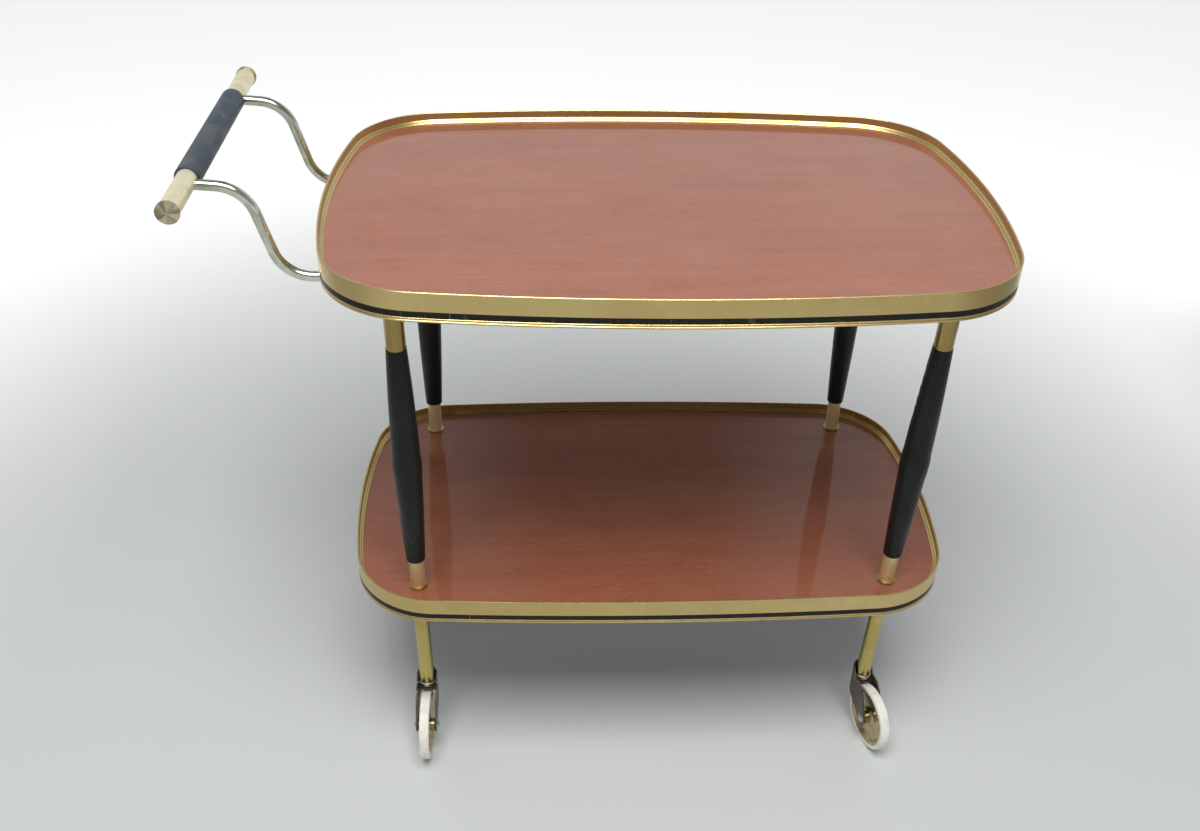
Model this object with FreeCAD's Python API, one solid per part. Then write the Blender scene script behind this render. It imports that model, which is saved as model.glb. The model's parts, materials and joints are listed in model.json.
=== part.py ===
import FreeCAD, Part
import math
import os

os.makedirs("parts", exist_ok=True)

# Serving trolley with two barrel-sided trays, four slanted legs, swivel casters and a push handle.
# Millimetres, +Z up. The floor is Z = 0, the push handle is at -X and the front side is -Y.
# The origin is on the floor, under the middle of the overall length and width.

# ---- driving sizes: trays ----
tray_height = 610.0          # floor to the top edge of the upper rim
lower_tray_height = 238.0    # floor to the top edge of the lower rim
tray_length = 660.0
tray_width = 450.0
side_bow_radius = 2150.0     # the long sides are shallow arcs
end_bow_radius = 755.0       # so are the ends
corner_radius = 98.0
lower_end_setback = 6.0      # ends of the lower tray inside the ends of the upper one
lower_side_setback = 36.5    # and its sides
lower_side_bow_radius = 4270.0
lower_end_bow_radius = 725.0
lower_corner_radius = 89.0
board_thickness = 13.0

# ---- driving sizes: rim section ----
rim_wall = 1.8
rim_lip = 7.7                # plain inner wall above the bevel
rim_step = 0.5               # little ledge where the bevel starts
rim_bevel = 3.4              # 45 degree bevel that holds the board down
rim_chamfer = 0.4            # on both edges of the rim's top
band_height = 18.2           # plain outer band above the stripe
stripe_height = 5.9
stripe_depth = 1.0
stripe_gap = 0.05
stripe_seam = 0.5            # open joint between the ends of the stripe
stripe_seam_share = 0.2      # how far along the front side the joint lies
bead_height = 4.7            # double bead under the stripe
bead_groove_width = 1.4
bead_groove_depth = 0.7
bead_chamfer = 0.5
bevel_groove_width = 0.7     # fine line along the middle of the bevel
bevel_groove_depth = 0.4
seat_depth = 0.4             # shallow seats in the boards for the bevel's foot and the washers
flange_reach = 5.2           # inward flange that carries the board
flange_thickness = 1.6
board_gap = 0.1              # between the board's edge and the rim

# ---- driving sizes: legs ----
tube_diameter = 16.0
tube_wall = 1.2
leg_inset_end = 78.0         # leg axis from the end of the upper tray, at the underside of its rim
leg_inset_side = 61.0
leg_inset_end_lower = 75.0   # the same on the lower tray, at its top face
leg_inset_side_lower = 44.0
socket_wall = 1.2            # socket over the leg tube
socket_drop = 55.0           # how far the socket shows below the upper rim
socket_roof = 8.0            # solid metal above the leg tube
socket_clear = 1.0           # between the leg tube and that roof
flange_diameter = 44.0
flange_plate = 2.5
sleeve_gap = 28.0            # bare tube between the sleeve and the lower rim
sleeve_end_wall = 1.6        # sleeve over the leg tube at its ends
sleeve_belly_diameter = 29.0
sleeve_belly_share = 0.53    # how far down the sleeve its thickest point lies
sleeve_bulge = 0.5           # how much each cone swells between its ends
sleeve_belly_length = 0.06   # half length of the rounded belly, as a share of the sleeve
sleeve_belly_blend = 0.75    # how far the belly's rounding drops at its ends
stud_diameter = 8.0
stud_reach = 18.0            # stud length inside each tube
insert_length = 22.0         # solid end of each tube that takes the stud
washer_diameter = 20.0
washer_thickness = 2.0
fit_gap = 0.05               # radial clearance of every sliding or screwed fit

# ---- driving sizes: fasteners ----
wood_screw_diameter = 3.5
wood_screw_head_diameter = 7.0
wood_screw_head_height = 1.4
wood_screw_bite = 9.0        # screw length inside the board
wood_screw_slot_width = 0.9
wood_screw_slot_depth = 0.7
wood_screw_tip = 0.3
flange_screw_count = 3
flange_screw_circle = 34.0
set_screw_diameter = 4.0
set_screw_proud = 0.8
set_screw_drop = 20.0        # below the underside of the upper rim
set_screw_key = 2.0
set_screw_key_depth = 1.2

# ---- driving sizes: push handle ----
bar_reach = 99.7             # bar axis beyond the end of the upper tray
bar_lift = 52.0              # bar axis above the top edge of the upper rim
bar_diameter = 18.5
bar_wall = 1.2
bar_length = 340.0
grip_diameter = 23.0
grip_end_gap = 1.0           # between each end of the grip and the arm beside it
grip_round = 1.5
cap_diameter = 21.0
cap_rim = 2.4
cap_dome = 1.6
cap_spigot = 10.0
arm_diameter = 10.0
arm_wall = 1.5
arm_spread = 214.0           # between the axes of the two arms
arm_drop = 40.0              # lower run of the arm below the top edge of the upper rim
arm_lean = 25.5              # how far the steep run leans towards the tray
arm_steep_start = 49.5       # steep run's upper corner from the bar axis
arm_start_drop = 2.0         # start of the arm below the bar axis
arm_run_drop = 5.5           # steep run's upper corner below the bar axis
arm_upper_bend = 35.0
arm_lower_bend = 35.0
block_length = 50.0
block_width = 24.0
block_floor = 4.0            # block material below the arm
block_stop = 2.0             # block material beyond the end of the arm
block_round = 3.0
block_setback = 12.0         # from the end of the upper rim, measured at the arm
block_screw_spacing = 34.0

# ---- driving sizes: casters ----
wheel_diameter = 75.0
tyre_width = 10.5
tyre_thickness = 4.5
tyre_round = 1.8
hub_boss_diameter = 14.0
hub_boss_gap = 0.4           # between the boss and each side of the fork
hub_boss_chamfer = 0.8
hub_flange_diameter = 25.0   # raised ring round the boss
hub_flange_width = 8.0
hub_web = 3.0
hub_edge_land = 3.0          # flat edge just inside the tyre
hub_flare = 3.5              # where the web widens to that edge
hub_edge_width = 9.2
axle_diameter = 6.0
axle_head_diameter = 10.0
axle_head_height = 2.6
caster_trail = 29.0
crown_clear = 1.8            # between the tyre and the front of the fork's top plate
crown_plate = 2.5
crown_reach = 9.0            # top plate in front of the swivel axis
fork_gap = 1.7               # between the leg tube and the fork round it
fork_wall = 1.8
fork_end_radius = 8.0
fork_back_rise = 10.0        # top of the fork's back above the end of the leg tube
fork_back_drop = 5.0         # lower edge of the fork's back below the top plate
fork_brow = 4.0              # fork's shoulder above the top plate, and its drop in front of it
fork_round = 2.5             # rounding of the corners of the fork's side plates
king_pin_diameter = 8.0
king_pin_head_diameter = 12.0
king_pin_head_height = 2.2
race_rim = 1.2               # race beyond the leg tube
race_neck_diameter = 15.0
race_height = 4.5
race_lift = 2.0              # race above the fork's top plate
race_round = 1.0
plug_length = 30.0
run_gap = 0.1                # clearance of the turning fits

# ---- worked-out places ----
UP = FreeCAD.Vector(0, 0, 1)
lower_tray_length = tray_length - 2 * lower_end_setback
lower_tray_width = tray_width - 2 * lower_side_setback
along_y = FreeCAD.Vector(0, 1, 0)
overall_length = tray_length + bar_reach + cap_diameter / 2
tray_x = overall_length / 2 - tray_length / 2
rim_height = band_height + stripe_height + bead_height
board_drop = rim_lip + rim_bevel
upper_face = tray_height - board_drop
upper_underside = upper_face - board_thickness
upper_rim_bottom = tray_height - rim_height
lower_rim_top = lower_tray_height
lower_face = lower_rim_top - board_drop
lower_underside = lower_face - board_thickness
socket_bottom = upper_rim_bottom - socket_drop
leg_top = upper_underside - flange_plate - socket_roof
sleeve_bottom = lower_rim_top + sleeve_gap
bar_x = tray_x - tray_length / 2 - bar_reach
bar_z = tray_height + bar_lift
arm_low_z = tray_height - arm_drop
wheel_radius = wheel_diameter / 2
tyre_bore_radius = wheel_radius - tyre_thickness
hub_edge_radius = tyre_bore_radius - hub_edge_land
hub_dish_radius = hub_edge_radius - hub_flare
foot_level = lower_face - seat_depth + washer_thickness
arm_length_below = block_setback + block_length - block_stop
tube_bore = tube_diameter / 2 - tube_wall
socket_diameter = tube_diameter + 2 * socket_wall
sleeve_end_diameter = tube_diameter + 2 * sleeve_end_wall
race_diameter = tube_diameter + 2 * race_rim
fork_width = tube_diameter + 2 * (fork_gap + fork_wall)
hub_boss_width = fork_width - 2 * (fork_wall + hub_boss_gap)
grip_length = arm_spread - arm_diameter - 2 * grip_end_gap
tyre_top = wheel_radius + math.sqrt(wheel_radius ** 2 - (caster_trail - crown_reach) ** 2)
crown_height = tyre_top + crown_clear
caster_height = crown_height + crown_plate + race_lift + race_height   # bottom end of the leg tube

# Each leg: name, side along X, side along Y, swivel direction of its caster in degrees from +X.
legs = [
    ("front_left", -1, -1, -91.0),
    ("front_right", 1, -1, -75.0),
    ("rear_left", -1, 1, -125.0),
    ("rear_right", 1, 1, -24.0),
]


def save(name, shape):
    shape.exportStep("parts/" + name + ".step")


def cylinder(start, end, radius):
    return Part.makeCylinder(radius, (end - start).Length, start, end - start)


def upright(x, y, low, high, radius):
    return Part.makeCylinder(radius, high - low, FreeCAD.Vector(x, y, low), UP)


def dome(base, way, radius, height):
    """Shallow spherical cap standing on a flat round base."""
    ball = (radius ** 2 + height ** 2) / (2 * height)
    sphere = Part.makeSphere(ball, base + way * (height - ball))
    return sphere.common(cylinder(base, base + way * (2 * height), radius))


def revolved(points, axis_point, axis):
    face = Part.Face(Part.makePolygon(points + [points[0]]))
    return face.revolve(axis_point, axis, 360)


# ---- tray outline ----
def outline_wire(size, inset, z):
    """Barrel-sided outline with tangent corners, moved inwards by inset."""
    half_x = size["length"] / 2 - inset
    half_y = size["width"] / 2 - inset
    side = size["side"] - inset
    end = size["end"] - inset
    corner = size["corner"] - inset
    side_centre = FreeCAD.Vector(0, half_y - side, 0)
    end_centre = FreeCAD.Vector(half_x - end, 0, 0)
    gap = end_centre - side_centre
    reach_side = side - corner
    reach_end = end - corner
    along = (reach_side ** 2 - reach_end ** 2 + gap.Length ** 2) / (2 * gap.Length)
    across = math.sqrt(reach_side ** 2 - along ** 2)
    unit = FreeCAD.Vector(gap).normalize()
    normal = FreeCAD.Vector(unit.y, -unit.x, 0)
    corner_centre = side_centre + unit * along + normal * across
    side_way = (corner_centre - side_centre).normalize()
    end_way = (corner_centre - end_centre).normalize()
    middle_way = (side_way + end_way).normalize()
    side_touch = corner_centre + side_way * corner
    end_touch = corner_centre + end_way * corner
    corner_middle = corner_centre + middle_way * corner

    def place(point, sign_x, sign_y):
        return FreeCAD.Vector(tray_x + sign_x * point.x, sign_y * point.y, z)

    top_middle = FreeCAD.Vector(0, half_y, 0)
    end_middle = FreeCAD.Vector(half_x, 0, 0)
    spans = [
        (place(side_touch, -1, 1), place(top_middle, 1, 1), place(side_touch, 1, 1)),
        (place(side_touch, 1, 1), place(corner_middle, 1, 1), place(end_touch, 1, 1)),
        (place(end_touch, 1, 1), place(end_middle, 1, 1), place(end_touch, 1, -1)),
        (place(end_touch, 1, -1), place(corner_middle, 1, -1), place(side_touch, 1, -1)),
        (place(side_touch, 1, -1), place(top_middle, 1, -1), place(side_touch, -1, -1)),
        (place(side_touch, -1, -1), place(corner_middle, -1, -1), place(end_touch, -1, -1)),
        (place(end_touch, -1, -1), place(end_middle, -1, 1), place(end_touch, -1, 1)),
        (place(end_touch, -1, 1), place(corner_middle, -1, 1), place(side_touch, -1, 1)),
    ]
    return Part.Wire([Part.Arc(*span).toShape() for span in spans])


def slab(size, inset, low, high):
    return Part.Face(outline_wire(size, inset, low)).extrude(UP * (high - low))


upper = {
    "length": tray_length, "width": tray_width, "side": side_bow_radius,
    "end": end_bow_radius, "corner": corner_radius,
}
lower = {
    "length": lower_tray_length, "width": lower_tray_width, "side": lower_side_bow_radius,
    "end": lower_end_bow_radius, "corner": lower_corner_radius,
}


def end_x(size, y):
    """X of the handle end of a tray at a given Y."""
    half_x = size["length"] / 2
    return tray_x - half_x + size["end"] - math.sqrt(size["end"] ** 2 - y ** 2)


# ---- trays ----
def edge_chamfer(size, top):
    """What the two chamfers take off the top edge of a rim."""
    low = top - rim_chamfer
    outer = Part.makeLoft([outline_wire(size, 0, low), outline_wire(size, rim_chamfer, top)], True, True)
    inner_low = outline_wire(size, rim_wall, low)
    inner = Part.makeLoft([inner_low, outline_wire(size, rim_wall - rim_chamfer, top)], True, True)
    return slab(size, -1, low, top).cut(outer).fuse(inner)


def outside_of(size, lower_edge, upper_edge):
    """What a slanted cut takes off the outside of a rim; each edge is an inset and a height."""
    core = Part.makeLoft([outline_wire(size, *lower_edge), outline_wire(size, *upper_edge)], True, True)
    return slab(size, -1, lower_edge[1], upper_edge[1]).cut(core)


def bevel_line(size, inset, z):
    """V groove square to the bevel, along its middle."""
    half = bevel_groove_width / 2
    bite = bevel_groove_depth / math.sqrt(2)
    low = outline_wire(size, inset + half, z - half)
    root = outline_wire(size, inset - bite, z - bite)
    high = outline_wire(size, inset - half, z + half)
    return Part.makeLoft([low, root], True, True).fuse(Part.makeLoft([root, high], True, True))


def build_rim(size, top):
    bottom = top - rim_height
    face = top - board_drop
    underside = face - board_thickness
    stripe_top = top - band_height
    stripe_bottom = stripe_top - stripe_height
    bevel_start = rim_wall + rim_step
    ring = slab(size, 0, bottom, top).cut(slab(size, rim_wall, face + rim_bevel, top))
    bevel_top = outline_wire(size, bevel_start, face + rim_bevel)
    bevel_bottom = outline_wire(size, bevel_start + rim_bevel, face)
    ring = ring.cut(Part.makeLoft([bevel_bottom, bevel_top], True, True))
    ring = ring.cut(slab(size, bevel_start + rim_bevel, face - seat_depth, face))
    ring = ring.cut(bevel_line(size, bevel_start + rim_bevel / 2, face + rim_bevel / 2))
    ring = ring.cut(slab(size, rim_wall, underside, face - seat_depth))
    ring = ring.cut(slab(size, rim_wall + flange_reach, underside - flange_thickness, underside))
    ring = ring.cut(slab(size, rim_wall, bottom, underside - flange_thickness))
    groove = slab(size, -1, stripe_bottom, stripe_top)
    ring = ring.cut(groove.cut(slab(size, stripe_depth, stripe_bottom, stripe_top)))
    middle = stripe_bottom - bead_height / 2
    waist = bead_groove_width / 2
    ring = ring.cut(outside_of(size, (0, middle - waist), (bead_groove_depth, middle)))
    ring = ring.cut(outside_of(size, (bead_groove_depth, middle), (0, middle + waist)))
    ring = ring.cut(outside_of(size, (bead_chamfer, bottom), (0, bottom + bead_chamfer)))
    ring = ring.cut(outside_of(size, (0, stripe_bottom - bead_chamfer), (bead_chamfer, stripe_bottom)))
    return ring.cut(edge_chamfer(size, top))


def build_stripe(size, top):
    high = top - band_height - stripe_gap
    low = high - stripe_height + 2 * stripe_gap
    strip = slab(size, 0.1, low, high).cut(slab(size, stripe_depth - stripe_gap, low, high))
    seam_x = tray_x - size["length"] * (0.5 - stripe_seam_share)
    seam = Part.makeBox(stripe_seam, size["width"], rim_height)
    seam.translate(FreeCAD.Vector(seam_x, -size["width"], low - 1))
    return strip.cut(seam)


def build_board(size, face):
    """Board with a shallow rebate round its top, where the foot of the rim's bevel sits."""
    bevel_foot = rim_wall + rim_step + rim_bevel
    core = slab(size, rim_wall + board_gap, face - board_thickness, face - seat_depth)
    return core.fuse(slab(size, bevel_foot + board_gap, face - seat_depth, face))


# ---- legs ----
def leg_point(side_x, side_y, z):
    """Point on the slanted leg axis at height z."""
    top_x = tray_length / 2 - leg_inset_end
    top_y = tray_width / 2 - leg_inset_side
    low_x = lower_tray_length / 2 - leg_inset_end_lower
    low_y = lower_tray_width / 2 - leg_inset_side_lower
    share = (upper_rim_bottom - z) / (upper_rim_bottom - lower_face)
    x = top_x + (low_x - top_x) * share
    y = top_y + (low_y - top_y) * share
    return FreeCAD.Vector(tray_x + side_x * x, side_y * y, z)


def leg_direction(side_x, side_y):
    return (leg_point(side_x, side_y, 1) - leg_point(side_x, side_y, 0)).normalize()


def leg_rod(side_x, side_y, radius, low, high):
    """Rod along the leg axis with level ends."""
    overrun = tube_diameter
    start = leg_point(side_x, side_y, low - overrun)
    rod = cylinder(start, leg_point(side_x, side_y, high + overrun), radius)
    middle = leg_point(side_x, side_y, (low + high) / 2)
    reach = 4 * tube_diameter
    keep = Part.makeBox(2 * reach, 2 * reach, high - low)
    keep.translate(FreeCAD.Vector(middle.x - reach, middle.y - reach, low))
    return rod.common(keep)


def leg_tube(side_x, side_y, low, high, insert_low, insert_high):
    """Tube with level ends, hollow between the two given heights."""
    tube = leg_rod(side_x, side_y, tube_diameter / 2, low, high)
    return tube.cut(leg_rod(side_x, side_y, tube_bore, insert_low, insert_high))


def build_socket(side_x, side_y):
    centre = leg_point(side_x, side_y, upper_underside)
    flange_low = upper_underside - flange_plate
    socket = upright(centre.x, centre.y, flange_low, upper_underside, flange_diameter / 2)
    body = cylinder(leg_point(side_x, side_y, socket_bottom), leg_point(side_x, side_y, upper_underside),
                    socket_diameter / 2)
    keep = Part.makeBox(4 * flange_diameter, 4 * flange_diameter, upper_underside)
    keep.translate(FreeCAD.Vector(centre.x - 2 * flange_diameter, centre.y - 2 * flange_diameter, 0))
    socket = socket.fuse(body.common(keep))
    bore = cylinder(leg_point(side_x, side_y, socket_bottom - 10), leg_point(side_x, side_y, leg_top),
                    tube_diameter / 2 + fit_gap)
    socket = socket.cut(bore)
    for x, y in flange_screw_places(side_x, side_y):
        hole = upright(x, y, flange_low - 1, upper_underside + 1, wood_screw_diameter / 2 + fit_gap)
        socket = socket.cut(hole)
    hole_start, hole_end = set_screw_line(side_x, side_y, socket_diameter, tube_diameter / 2)
    return socket.cut(cylinder(hole_start, hole_end, set_screw_diameter / 2 + fit_gap)).removeSplitter()


def flange_screw_places(side_x, side_y):
    centre = leg_point(side_x, side_y, upper_underside)
    places = []
    for index in range(flange_screw_count):
        angle = math.radians(90 + index * 360 / flange_screw_count) * side_y
        x = centre.x + flange_screw_circle / 2 * math.cos(angle)
        y = centre.y + flange_screw_circle / 2 * math.sin(angle)
        places.append((x, y))
    return places


def set_screw_line(side_x, side_y, outer, inner):
    """Start and end of the grub screw; each leg has it a quarter turn on from the last."""
    ways = {(-1, -1): (-1, 0), (1, -1): (0, -1), (1, 1): (1, 0), (-1, 1): (0, 1)}
    way = FreeCAD.Vector(ways[(side_x, side_y)][0], ways[(side_x, side_y)][1], 0)
    centre = leg_point(side_x, side_y, upper_rim_bottom - set_screw_drop)
    slant = 1 / leg_direction(side_x, side_y).z
    return centre + way * outer * slant, centre + way * inner * slant


def build_set_screw(side_x, side_y):
    outer = socket_diameter / 2 + set_screw_proud
    start, end = set_screw_line(side_x, side_y, outer, tube_diameter / 2 + 2 * fit_gap)
    screw = cylinder(start, end, set_screw_diameter / 2)
    inward = (end - start).normalize()
    corners = []
    cross = inward.cross(UP)
    for index in range(7):
        angle = math.radians(60 * index)
        corners.append(start + (UP * math.cos(angle) + cross * math.sin(angle)) * (set_screw_key / 2))
    key = Part.Face(Part.makePolygon(corners)).extrude(inward * set_screw_key_depth)
    return screw.cut(key)


def build_wood_screw(x, y, seat, tip):
    head = upright(x, y, seat - wood_screw_head_height, seat, wood_screw_head_diameter / 2)
    rim = [edge for edge in head.Edges if edge.BoundBox.ZMax < seat - wood_screw_head_height + 0.01]
    head = head.makeFillet(wood_screw_head_height * 0.6, rim[:1])
    slot = Part.makeBox(2 * wood_screw_head_diameter, wood_screw_slot_width, wood_screw_slot_depth)
    slot.translate(FreeCAD.Vector(x - wood_screw_head_diameter, y - wood_screw_slot_width / 2,
                                  seat - wood_screw_head_height))
    point = wood_screw_diameter
    shank = upright(x, y, seat, tip - point, wood_screw_diameter / 2)
    shank_end = FreeCAD.Vector(x, y, tip - point)
    cone = Part.makeCone(wood_screw_diameter / 2, wood_screw_tip, point, shank_end, UP)
    return head.cut(slot).fuse(shank).fuse(cone)


def build_sleeve(side_x, side_y):
    """Black spindle: two gently swollen cones that meet in a rounded belly."""
    length = (leg_point(side_x, side_y, socket_bottom) - leg_point(side_x, side_y, sleeve_bottom)).Length
    belly = length * (1 - sleeve_belly_share)
    end = sleeve_end_diameter / 2
    fat = sleeve_belly_diameter / 2
    blend = length * sleeve_belly_length
    bore = tube_diameter / 2 + fit_gap

    middle = (end + fat) / 2
    low_mid = FreeCAD.Vector(middle + sleeve_bulge / 2, 0, belly / 2)
    high_mid = FreeCAD.Vector(middle + sleeve_bulge, 0, (belly + length) / 2)
    low_end = FreeCAD.Vector(fat - sleeve_belly_blend, 0, belly - blend)
    high_end = FreeCAD.Vector(fat - sleeve_belly_blend, 0, belly + blend)
    foot = FreeCAD.Vector(end, 0, 0)
    head = FreeCAD.Vector(end, 0, length)
    edges = [
        Part.LineSegment(FreeCAD.Vector(bore, 0, 0), foot).toShape(),
        Part.Arc(foot, low_mid, low_end).toShape(),
        Part.Arc(low_end, FreeCAD.Vector(fat, 0, belly), high_end).toShape(),
        Part.Arc(high_end, high_mid, head).toShape(),
        Part.LineSegment(head, FreeCAD.Vector(bore, 0, length)).toShape(),
        Part.LineSegment(FreeCAD.Vector(bore, 0, length), FreeCAD.Vector(bore, 0, 0)).toShape(),
    ]
    sleeve = Part.Face(Part.Wire(edges)).revolve(FreeCAD.Vector(0, 0, 0), UP, 360)
    turn = FreeCAD.Rotation(UP, leg_direction(side_x, side_y))
    sleeve.Placement = FreeCAD.Placement(leg_point(side_x, side_y, sleeve_bottom), turn)
    return sleeve


def build_upper_tube(side_x, side_y):
    low = foot_level
    high = leg_top - socket_clear
    tube = leg_tube(side_x, side_y, low, high, low + insert_length, high)
    thread = leg_rod(side_x, side_y, stud_diameter / 2 + fit_gap, low, low + insert_length)
    return tube.cut(thread)


def build_lower_tube(side_x, side_y):
    high = lower_underside - washer_thickness
    tube = leg_tube(side_x, side_y, caster_height, high, caster_height, high - insert_length)
    thread = leg_rod(side_x, side_y, stud_diameter / 2 + fit_gap, high - insert_length, high)
    return tube.cut(thread)


def build_stud(side_x, side_y):
    low = lower_underside - washer_thickness - stud_reach
    high = foot_level + stud_reach
    return leg_rod(side_x, side_y, stud_diameter / 2, low, high)


def build_washer(side_x, side_y, low):
    high = low + washer_thickness
    centre = leg_point(side_x, side_y, (low + high) / 2)
    washer = upright(centre.x, centre.y, low, high, washer_diameter / 2)
    return washer.cut(leg_rod(side_x, side_y, stud_diameter / 2 + 2 * fit_gap, low - 1, high + 1))


# ---- push handle ----
def arm_corners(y):
    start = FreeCAD.Vector(bar_x, y, bar_z - arm_start_drop)
    first = FreeCAD.Vector(bar_x + arm_steep_start, y, bar_z - arm_run_drop)
    second = FreeCAD.Vector(first.x + arm_lean, y, arm_low_z)
    finish = FreeCAD.Vector(end_x(upper, arm_spread / 2) + arm_length_below, y, arm_low_z)
    return [start, first, second, finish]


def arm_path(y):
    """Line, arc, line, arc, line from the bar down and in under the tray."""
    points = arm_corners(y)
    start = points[0]
    radii = [0, arm_upper_bend, arm_lower_bend, 0]
    edges = []
    last = start
    for before, corner, after, radius in zip(points, points[1:], points[2:], radii[1:]):
        way_in = (corner - before).normalize()
        way_out = (after - corner).normalize()
        half_turn = math.acos(way_in.dot(way_out)) / 2
        setback = radius * math.tan(half_turn)
        arc_start = corner - way_in * setback
        arc_end = corner + way_out * setback
        inward = (way_out - way_in).normalize()
        arc_middle = corner + inward * (radius / math.cos(half_turn) - radius)
        edges.append(Part.LineSegment(last, arc_start).toShape())
        edges.append(Part.Arc(arc_start, arc_middle, arc_end).toShape())
        last = arc_end
    edges.append(Part.LineSegment(last, points[-1]).toShape())
    return Part.Wire(edges)


def swept(path, radius):
    start = path.Vertexes[0].Point
    way = path.Vertexes[1].Point - start
    circle = Part.Wire([Part.Circle(start, way, radius).toShape()])
    return path.makePipeShell([circle], True, True)


def build_arm(y):
    path = arm_path(y)
    return swept(path, arm_diameter / 2).cut(swept(path, arm_diameter / 2 - arm_wall))


def build_bar():
    start = FreeCAD.Vector(bar_x, -bar_length / 2, bar_z)
    end = FreeCAD.Vector(bar_x, bar_length / 2, bar_z)
    bar = cylinder(start, end, bar_diameter / 2).cut(cylinder(start, end, bar_diameter / 2 - bar_wall))
    for side in (-1, 1):
        arm_start, arm_bend = arm_corners(side * arm_spread / 2)[:2]
        bar = bar.cut(cylinder(arm_start, arm_bend, arm_diameter / 2 + fit_gap))
    return bar


def build_grip():
    start = FreeCAD.Vector(bar_x, -grip_length / 2, bar_z)
    end = FreeCAD.Vector(bar_x, grip_length / 2, bar_z)
    grip = cylinder(start, end, grip_diameter / 2)
    grip = grip.makeFillet(grip_round, [edge for edge in grip.Edges if edge.BoundBox.YLength < 0.01])
    return grip.cut(cylinder(start, end, bar_diameter / 2 + fit_gap))


def build_cap(side):
    """Domed button with a spigot inside the end of the bar."""
    way = along_y * side
    seat = FreeCAD.Vector(bar_x, 0, bar_z) + way * (bar_length / 2)
    spigot = cylinder(seat - way * cap_spigot, seat, bar_diameter / 2 - bar_wall - fit_gap)
    button = cylinder(seat, seat + way * cap_rim, cap_diameter / 2)
    crown = dome(seat + way * cap_rim, way, cap_diameter / 2, cap_dome)
    return spigot.fuse(button).fuse(crown).removeSplitter()


def block_start():
    return end_x(upper, arm_spread / 2) + block_setback


def build_block(y):
    bottom = arm_low_z - arm_diameter / 2 - block_floor
    height = upper_underside - bottom
    block = Part.makeBox(block_length, block_width, height)
    block.translate(FreeCAD.Vector(block_start(), y - block_width / 2, bottom))
    corners = [edge for edge in block.Edges if edge.BoundBox.ZLength > height / 2]
    block = block.makeFillet(block_round, corners)
    hole_end = FreeCAD.Vector(block_start() + block_length - block_stop + fit_gap, y, arm_low_z)
    hole_start = FreeCAD.Vector(block_start() - 1, y, arm_low_z)
    block = block.cut(cylinder(hole_start, hole_end, arm_diameter / 2 + fit_gap))
    for x, screw_y in block_screw_places(y):
        hole = upright(x, screw_y, bottom - 1, upper_underside + 1, wood_screw_diameter / 2 + fit_gap)
        block = block.cut(hole)
    return block


def block_screw_places(y):
    """Two screws on one diagonal, clear of the arm between them."""
    middle = block_start() + block_length / 2
    offset = (arm_diameter + block_width) / 4
    along = block_screw_spacing / 2
    return [(middle - along, y - offset), (middle + along, y + offset)]


# ---- casters, built with the swivel axis at X = Y = 0 and the wheel trailing along +X ----
def caster_place(side_x, side_y):
    return leg_point(side_x, side_y, caster_height)


def placed(shape, side_x, side_y, angle):
    shape.rotate(FreeCAD.Vector(0, 0, 0), UP, angle)
    foot = caster_place(side_x, side_y)
    shape.translate(FreeCAD.Vector(foot.x, foot.y, 0))
    return shape


def collar_plan(half_width, front_radius, rear, low, high):
    straight = Part.makeBox(rear, 2 * half_width, high - low, FreeCAD.Vector(0, -half_width, low))
    return straight.fuse(upright(0, 0, low, high, front_radius))


def fork_outline():
    """Side view of the fork: distances from the swivel axis towards the axle, and heights."""
    back = fork_width / 2 + 1
    crown_top = crown_height + crown_plate
    back_low = crown_height - fork_back_drop
    back_rise = back_low - wheel_radius
    axle_front = (caster_trail + fork_end_radius * 0.9, wheel_radius + fork_end_radius * 0.44)
    axle_under = (caster_trail - fork_end_radius * 0.44, wheel_radius - fork_end_radius * 0.9)
    return [
        (-back, caster_height + fork_back_rise),
        (-back * 0.16, caster_height + fork_back_rise * 0.7),
        (caster_trail * 0.14, crown_top + fork_brow),
        (caster_trail * 0.53, crown_top + fork_brow * 0.6),
        (caster_trail * 0.83, crown_height - fork_brow),
        axle_front,
        (caster_trail, wheel_radius),
        axle_under,
        (caster_trail * 0.48, wheel_radius + back_rise * 0.1),
        (caster_trail * 0.14, wheel_radius + back_rise * 0.3),
        (-back * 0.48, wheel_radius + back_rise * 0.61),
        (-back, back_low),
    ]


def build_fork():
    """Bent sheet fork: a rounded back that wraps the race, a top plate and two swept arms."""
    half = fork_width / 2
    inner = half - fork_wall
    low = wheel_radius - fork_end_radius
    top = caster_height + fork_back_rise
    rear = caster_trail + fork_end_radius
    walls = collar_plan(half, half, rear, low, top)
    walls = walls.cut(collar_plan(inner, inner, rear + 1, low - 1, top + 1))
    silhouette = [FreeCAD.Vector(reach, -half - 1, height) for reach, height in fork_outline()]
    side = Part.Face(Part.makePolygon(silhouette + [silhouette[0]])).extrude(along_y * (fork_width + 2))
    axle_low = FreeCAD.Vector(caster_trail, -half - 1, wheel_radius)
    axle_high = FreeCAD.Vector(caster_trail, half + 1, wheel_radius)
    side = side.fuse(cylinder(axle_low, axle_high, fork_end_radius)).removeSplitter()
    brow = [edge for edge in side.Edges if edge.BoundBox.YLength > fork_width and edge.BoundBox.XMin > 0
            and edge.BoundBox.ZMin > crown_height - fork_end_radius and edge.BoundBox.ZLength < 0.01]
    side = side.makeFillet(fork_round, brow)
    fork = walls.common(side)
    plate = collar_plan(inner, inner, crown_reach, crown_height, crown_height + crown_plate)
    fork = fork.fuse(plate)
    pin_radius = king_pin_diameter / 2 + run_gap
    fork = fork.cut(upright(0, 0, crown_height - 1, crown_height + crown_plate + 1, pin_radius))
    return fork.cut(cylinder(axle_low, axle_high, axle_diameter / 2 + fit_gap)).removeSplitter()


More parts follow.
